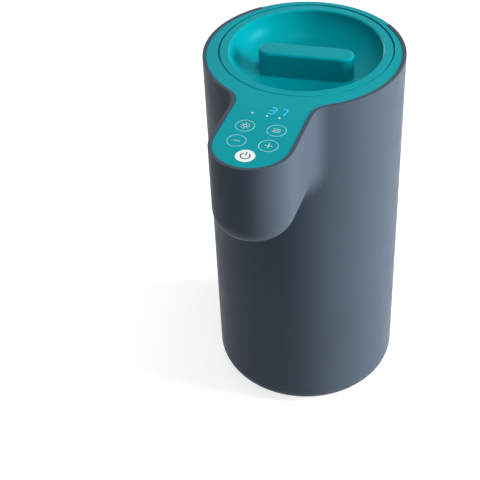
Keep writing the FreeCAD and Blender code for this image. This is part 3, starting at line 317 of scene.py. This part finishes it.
def clear_silicone(name, colour, roughness, depth):
    """Milky silicone that lets some light through."""
    material, tree, shader = shader_of(name)
    place = place_of(tree)
    haze = mottle(tree, place, 140, detail=4)
    dark = [part * 0.9 for part in colour]
    tree.links.new(two_tones(tree, haze, dark, colour), shader.inputs["Base Color"])
    tree.links.new(between(tree, haze, roughness - 0.05, roughness + 0.08), shader.inputs["Roughness"])
    raised(tree, shader, mottle(tree, place, 900, detail=2), depth)
    shader.inputs["Subsurface Weight"].default_value = 0.4
    shader.inputs["Subsurface Radius"].default_value = (silicone_depth, silicone_depth, silicone_depth)
    shader.inputs["IOR"].default_value = silicone_ior
    return material


seal_silicone = clear_silicone("seal_silicone", silicone_colour, roughness=0.45, depth=0.00001)
for node in ("lid_seal", "dock_seal", "tank_valve", "hose_dock_to_meter", "hose_meter_to_pump",
             "hose_pump_to_heater", "hose_heater_to_nozzle"):
    finish(node, seal_silicone)

# Touch keys: signs printed on the deck in white and pale blue ink, one over each sensing spring.
# Each sign is a thin film of ink that lies on the deck's flat top. Distances to the front are
# taken from the trunk's axis, which stands at body_back.
body_back = 0.037
deck_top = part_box("top_deck")[1].z
ink_thick = 0.00012
ink_sunk = 0.00006
key_radius = 0.0067
key_side = 0.0112
line_width = 0.00036
sign_width = 0.0009
key_power = body_back - 0.1348
key_front = body_back - 0.120
key_middle = body_back - 0.102
full_turn = 2 * math.pi
ring_steps = 72


def ink(name, colour, glow_strength=0.0):
    """Printed ink: matt, faintly uneven, and lit from below where it glows."""
    material, tree, shader = shader_of(name)
    spots = mottle(tree, place_of(tree), 2500, detail=2)
    dark = [part * 0.93 for part in colour]
    tree.links.new(two_tones(tree, spots, dark, colour), shader.inputs["Base Color"])
    shader.inputs["Roughness"].default_value = 0.4
    shader.inputs["Emission Color"].default_value = (*colour, 1)
    shader.inputs["Emission Strength"].default_value = glow_strength
    return material


def printed(name, form, material, level=0):
    """Turns flat faces into a film of ink on the deck that moves with the housing."""
    top = bmesh.ops.extrude_face_region(form, geom=form.faces[:])
    verts = [part for part in top["geom"] if isinstance(part, bmesh.types.BMVert)]
    bmesh.ops.translate(form, verts=verts, vec=(0, 0, ink_thick))
    bmesh.ops.recalc_face_normals(form, faces=form.faces[:])
    bmesh.ops.translate(form, verts=form.verts[:], vec=(0, 0, deck_top - ink_sunk + level))
    mesh = bpy.data.meshes.new(name)
    form.to_mesh(mesh)
    form.free()
    mesh.materials.append(material)
    sign = bpy.data.objects.new(name, mesh)
    scene.collection.objects.link(sign)
    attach(sign, "housing")


def ring(form, side, back, radius, width, start=0.0, sweep=full_turn):
    """A flat ring, or a stretch of one, round a point of the deck."""
    inner = bmesh.ops.create_vert(form, co=(radius - width, 0, 0))["vert"][0]
    outer = bmesh.ops.create_vert(form, co=(radius, 0, 0))["vert"][0]
    edge = form.edges.new((inner, outer))
    bmesh.ops.rotate(form, verts=[inner, outer], cent=(0, 0, 0), matrix=Matrix.Rotation(start, 3, "Z"))
    bmesh.ops.translate(form, verts=[inner, outer], vec=(side, back, 0))
    bmesh.ops.spin(form, geom=[inner, outer, edge], cent=(side, back, 0), axis=(0, 0, 1), angle=sweep,
                   steps=ring_steps, use_merge=sweep == full_turn)


def bar(form, side, back, width, length, lean=0.0):
    """A flat bar centred on a point of the deck, along Y before it leans."""
    made = bmesh.ops.create_grid(form, x_segments=1, y_segments=1, size=0.5)["verts"]
    bmesh.ops.scale(form, verts=made, vec=(width, length, 1))
    bmesh.ops.rotate(form, verts=made, cent=(0, 0, 0), matrix=Matrix.Rotation(lean, 3, "Z"))
    bmesh.ops.translate(form, verts=made, vec=(side, back, 0))


def disc(form, side, back, radius):
    """A flat round spot on the deck."""
    made = bmesh.ops.create_circle(form, cap_ends=True, segments=64, radius=radius)["verts"]
    bmesh.ops.translate(form, verts=made, vec=(side, back, 0))


white_ink = ink("white_ink", (0.86, 0.9, 0.9))

# Power key: a full white disc at the tip of the spout, with the usual sign in dark ink.
# The sign is an open ring with a bar in its gap, printed over the disc.
dark_ink = ink("dark_ink", (0.01, 0.05, 0.07))
power_radius = 0.0036
power_bar_rise = 0.0024
gap_half = math.radians(32)
power_disc = bmesh.new()
disc(power_disc, 0, key_power, key_radius)
printed("power_key_disc", power_disc, white_ink)
power_sign = bmesh.new()
ring(power_sign, 0, key_power, power_radius, sign_width, math.pi / 2 + gap_half, full_turn - 2 * gap_half)
bar(power_sign, 0, key_power + power_bar_rise, sign_width, power_radius)
printed("power_key_sign", power_sign, dark_ink, ink_thick / 4)

# Key rings: a thin line in pale blue ink round each of the four other keys.
# Each ring stands over its own sensing spring and marks where to press.
pale_ink = ink("pale_ink", (0.42, 0.72, 0.76))
for label, side, back in (("plus", key_side, key_front), ("minus", -key_side, key_front),
                          ("mode", key_side, key_middle), ("light", -key_side, key_middle)):
    key_line = bmesh.new()
    ring(key_line, side, back, key_radius, line_width)
    printed(label + "_key_ring", key_line, pale_ink)

# Plus and minus keys: thin white strokes. The plus is an upright stroke and two short arms,
# so no stroke is printed over another.
stroke_length = 0.0056
arm_length = 0.0026
arm_side = 0.0015
minus_length = 0.0050
plus_sign = bmesh.new()
bar(plus_sign, key_side, key_front, line_width, stroke_length)
bar(plus_sign, key_side - arm_side, key_front, arm_length, line_width)
bar(plus_sign, key_side + arm_side, key_front, arm_length, line_width)
printed("plus_key_sign", plus_sign, white_ink)
minus_sign = bmesh.new()
bar(minus_sign, -key_side, key_front, minus_length, line_width)
printed("minus_key_sign", minus_sign, white_ink)

# Mode key: three short strokes under each other, a generic sign for choosing from a list.
# They are printed in the same white ink as the plus and the minus.
stroke_step = 0.0017
mode_sign = bmesh.new()
for step in (-1, 0, 1):
    bar(mode_sign, key_side, key_middle + step * stroke_step, stroke_length, line_width)
printed("mode_key_sign", mode_sign, white_ink)

# Light key: a small round lamp with eight short rays, for the night light.
# It is printed in the same white ink as the other signs.
lamp_radius = 0.0015
ray_count = 8
ray_reach = 0.0029
ray_length = 0.0013
light_sign = bmesh.new()
ring(light_sign, -key_side, key_middle, lamp_radius, line_width)
for step in range(ray_count):
    turn = step * full_turn / ray_count
    side = -key_side + ray_reach * math.sin(turn)
    back = key_middle + ray_reach * math.cos(turn)
    bar(light_sign, side, back, line_width, ray_length, -turn)
printed("light_key_sign", light_sign, white_ink)

# Display: two lit digits that shine through thin places in the deck, and three small marks.
# Each digit has seven bars, and the chosen bars show a temperature in degrees.
digit_width = 0.0044
digit_height = 0.0078
digit_stroke = 0.0009
digit_lean = math.radians(-8)
digit_back = body_back - 0.0801
bars_of_three = "abcdg"
bars_of_seven = "abc"
mark_radius = 0.0007
mark_places = ((-0.0005, 0.0871), (0.0085, 0.0874), (-0.0114, 0.0861))
lit_blue = ink("lit_blue", (0.03, 0.42, 0.80), glow_strength=0.35)


def digit(name, side, bars):
    """One seven-bar digit with the named bars lit."""
    form = bmesh.new()
    half_width = digit_width / 2
    half_height = digit_height / 2
    spots = {"a": (0, half_height), "g": (0, 0), "d": (0, -half_height),
             "b": (half_width, half_height / 2), "c": (half_width, -half_height / 2)}
    for letter in bars:
        right, up = spots[letter]
        if letter in "agd":
            bar(form, right, up, digit_width - digit_stroke, digit_stroke)
        else:
            bar(form, right, up, digit_stroke, half_height - digit_stroke)
    bmesh.ops.rotate(form, verts=form.verts[:], cent=(0, 0, 0), matrix=Matrix.Rotation(digit_lean, 3, "Z"))
    bmesh.ops.translate(form, verts=form.verts[:], vec=(side, digit_back, 0))
    printed(name, form, lit_blue)


digit("left_digit", 0.0012, bars_of_three)
digit("right_digit", 0.0089, bars_of_seven)
status_marks = bmesh.new()
for side, ahead in mark_places:
    disc(status_marks, side, body_back - ahead, mark_radius)
printed("status_marks", status_marks, white_ink)

# Water tank: a clear food-safe plastic bucket that drops into the trunk from above.
# It is moulded with smooth walls, so it shows faint flow lines and a bright rim.
clear_plastic, tree, shader = shader_of("clear_plastic")
flow = mottle(tree, place_of(tree, (1, 1, 0.2)), 40, detail=2)
tree.links.new(two_tones(tree, flow, (0.80, 0.90, 0.93), (0.90, 0.97, 0.98)), shader.inputs["Base Color"])
tree.links.new(between(tree, flow, 0.03, 0.09), shader.inputs["Roughness"])
raised(tree, shader, flow, 0.00002)
shader.inputs["Transmission Weight"].default_value = 0.94
shader.inputs["IOR"].default_value = 1.4
finish("water_tank", clear_plastic)

# Float and float cap: small white mouldings on a post inside the tank.
# The filter lies over the outlet on the tank's floor, and its disc is a fine woven screen.
white_plastic, shader = moulded("white_plastic", (0.72, 0.73, 0.71), roughness=0.42, grain_scale=1500,
                                grain_depth=0.00002, variety=0.03)
finish("level_float", white_plastic)
finish("float_cap", white_plastic)


def stripes(tree, place, direction, scale):
    """Even soft stripes that follow each other along one direction."""
    bands = tree.nodes.new("ShaderNodeTexWave")
    bands.bands_direction = direction
    bands.inputs["Scale"].default_value = scale
    tree.links.new(place, bands.inputs["Vector"])
    return bands.outputs["Fac"]


thread_scale = 320
filter_screen, tree, shader = shader_of("filter_screen")
place = place_of(tree)
woven = tree.nodes.new("ShaderNodeMath")
woven.operation = "MAXIMUM"
tree.links.new(stripes(tree, place, "X", thread_scale), woven.inputs[0])
tree.links.new(stripes(tree, place, "Y", thread_scale), woven.inputs[1])
tree.links.new(two_tones(tree, woven.outputs[0], (0.3, 0.32, 0.33), (0.8, 0.82, 0.82)),
               shader.inputs["Base Color"])
raised(tree, shader, woven.outputs[0], 0.0002)
shader.inputs["Roughness"].default_value = 0.5
finish("tank_filter", filter_screen)

# Inner frame: a grey glass-filled moulding that carries the tank, the dock and the pump.
# The heater's caps and bracket are moulded in the same plastic, because it stands the heat.
frame_plastic, shader = moulded("frame_plastic", (0.20, 0.21, 0.22), roughness=0.55, grain_scale=1100,
                                grain_depth=0.00004)
for node in ("inner_frame", "heater_lower_cap", "heater_upper_cap", "heater_bracket"):
    finish(node, frame_plastic)

# Flow meter and pump: natural white nylon bodies with dark blue running wheels.
# The pump's motor sits in a drawn steel can, and a rubber mount keeps it from humming.
for node in ("flow_meter_body", "flow_meter_cap", "pump_head", "pump_cover"):
    finish(node, white_plastic)
wheel_plastic, shader = moulded("wheel_plastic", (0.02, 0.04, 0.10), roughness=0.35, grain_scale=900,
                                grain_depth=0.00001)
finish("flow_turbine", wheel_plastic)
finish("pump_impeller", wheel_plastic)
motor_steel = worked_metal("motor_steel", (0.55, 0.56, 0.58), roughness=0.28, stretch=(1, 1, 30),
                           grain_scale=60, grain_depth=0.000006)
finish("pump_motor", motor_steel)
finish("pump_mount", foot_rubber)

# Heater: an extruded aluminium tube with cooling fins round a steel heating rod.
# Round cutouts and brass probes are strapped against its end caps.
heater_aluminium = worked_metal("heater_aluminium", (0.76, 0.77, 0.79), roughness=0.4,
                                stretch=(14, 14, 1), grain_scale=60, grain_depth=0.00002)
finish("heater_body", heater_aluminium)
heating_steel = worked_metal("heating_steel", (0.36, 0.31, 0.28), roughness=0.45, stretch=(1, 1, 1),
                             grain_scale=300, grain_depth=0.00002)
finish("heater_element", heating_steel)
finish("thermal_cutouts", screw_steel)
probe_brass = worked_metal("probe_brass", (0.72, 0.53, 0.24), roughness=0.3, stretch=(1, 1, 8),
                           grain_scale=120, grain_depth=0.00001)
finish("temperature_sensors", probe_brass)

# Nozzle: a black heat-proof outlet, moulded in the same plastic as the base plate.
# It stands a little proud of the spout's underside.
finish("nozzle", black_plastic)

# Boards: green lacquered fibreglass with copper tracks, one under the deck, one for the power
# and a small one that reads the float. Zinc-plated screws hold the one under the deck.
track_scale = 90


def circuit_board(name):
    """Green lacquered board with square copper tracks that show as lighter green lines under the lacquer.
    """
    material, tree, shader = shader_of(name)
    tracks = tree.nodes.new("ShaderNodeTexBrick")
    tracks.inputs["Scale"].default_value = track_scale
    tracks.inputs["Mortar Size"].default_value = 0.035
    tracks.inputs["Color1"].default_value = (0.008, 0.10, 0.035, 1)
    tracks.inputs["Color2"].default_value = (0.010, 0.13, 0.045, 1)
    tracks.inputs["Mortar"].default_value = (0.03, 0.24, 0.07, 1)
    tree.links.new(place_of(tree), tracks.inputs["Vector"])
    tree.links.new(tracks.outputs["Color"], shader.inputs["Base Color"])
    raised(tree, shader, tracks.outputs["Fac"], 0.00004)
    shader.inputs["Roughness"].default_value = 0.28
    shader.inputs["Coat Weight"].default_value = 0.3
    return material


board_green = circuit_board("board_green")
for node in ("control_board", "power_board", "level_sensor"):
    finish(node, board_green)
finish("control_board_screws", screw_steel)

# Touch springs: wound spring steel, one under each key, soldered to the board.
# They press on the deck's underside, and their turns are painted as bright and dark rings: a painted
# highlight on each turn and painted shade between them.
spring_turns_scale = 260
spring_steel, tree, shader = shader_of("spring_steel")
turn_relief_and_painted_light = stripes(tree, place_of(tree), "Z", spring_turns_scale)
# The stripes paint light and shade: bright on each turn, dark between turns. The same stripes also raise
# the turns' relief.
tree.links.new(two_tones(tree, turn_relief_and_painted_light, (0.12, 0.12, 0.13), (0.7, 0.71, 0.73)), shader.inputs["Base Color"])
raised(tree, shader, turn_relief_and_painted_light, 0.0003)
shader.inputs["Metallic"].default_value = 1.0
shader.inputs["Roughness"].default_value = 0.3
finish("touch_springs", spring_steel)

# Display module and the power board's parts: black moulded blocks and cans.
# Each stands on its board by its solder pins, and neighbours differ a little in tone and gloss.
block_scale = 55
finish("display_module", black_plastic)
part_plastic, tree, shader = shader_of("part_plastic")
cells = tree.nodes.new("ShaderNodeTexVoronoi")
cells.inputs["Scale"].default_value = block_scale
tree.links.new(place_of(tree), cells.inputs["Vector"])
shades = tree.nodes.new("ShaderNodeSeparateColor")
tree.links.new(cells.outputs["Color"], shades.inputs["Color"])
tree.links.new(two_tones(tree, shades.outputs["Red"], (0.015, 0.015, 0.018), (0.05, 0.05, 0.06)),
               shader.inputs["Base Color"])
tree.links.new(between(tree, shades.outputs["Green"], 0.25, 0.5), shader.inputs["Roughness"])
finish("power_board_parts", part_plastic)

# Cable between the two boards: a soft black sleeve with a braided skin.
# It runs from the power board up through the passage in front of the tank.
braid_scale = 180
cable_sleeve, tree, shader = shader_of("cable_sleeve")
braid = stripes(tree, place_of(tree), "DIAGONAL", braid_scale)
tree.links.new(two_tones(tree, braid, (0.008, 0.008, 0.009), (0.04, 0.04, 0.043)),
               shader.inputs["Base Color"])
raised(tree, shader, braid, 0.0002)
shader.inputs["Roughness"].default_value = 0.6
finish("control_cable", cable_sleeve)

# Cord inlet: a black nylon gland in the rear wall and the nut that holds it from inside.
# Both are moulded in the same plastic as the base plate.
finish("cord_gland", black_plastic)
finish("gland_nut", black_plastic)
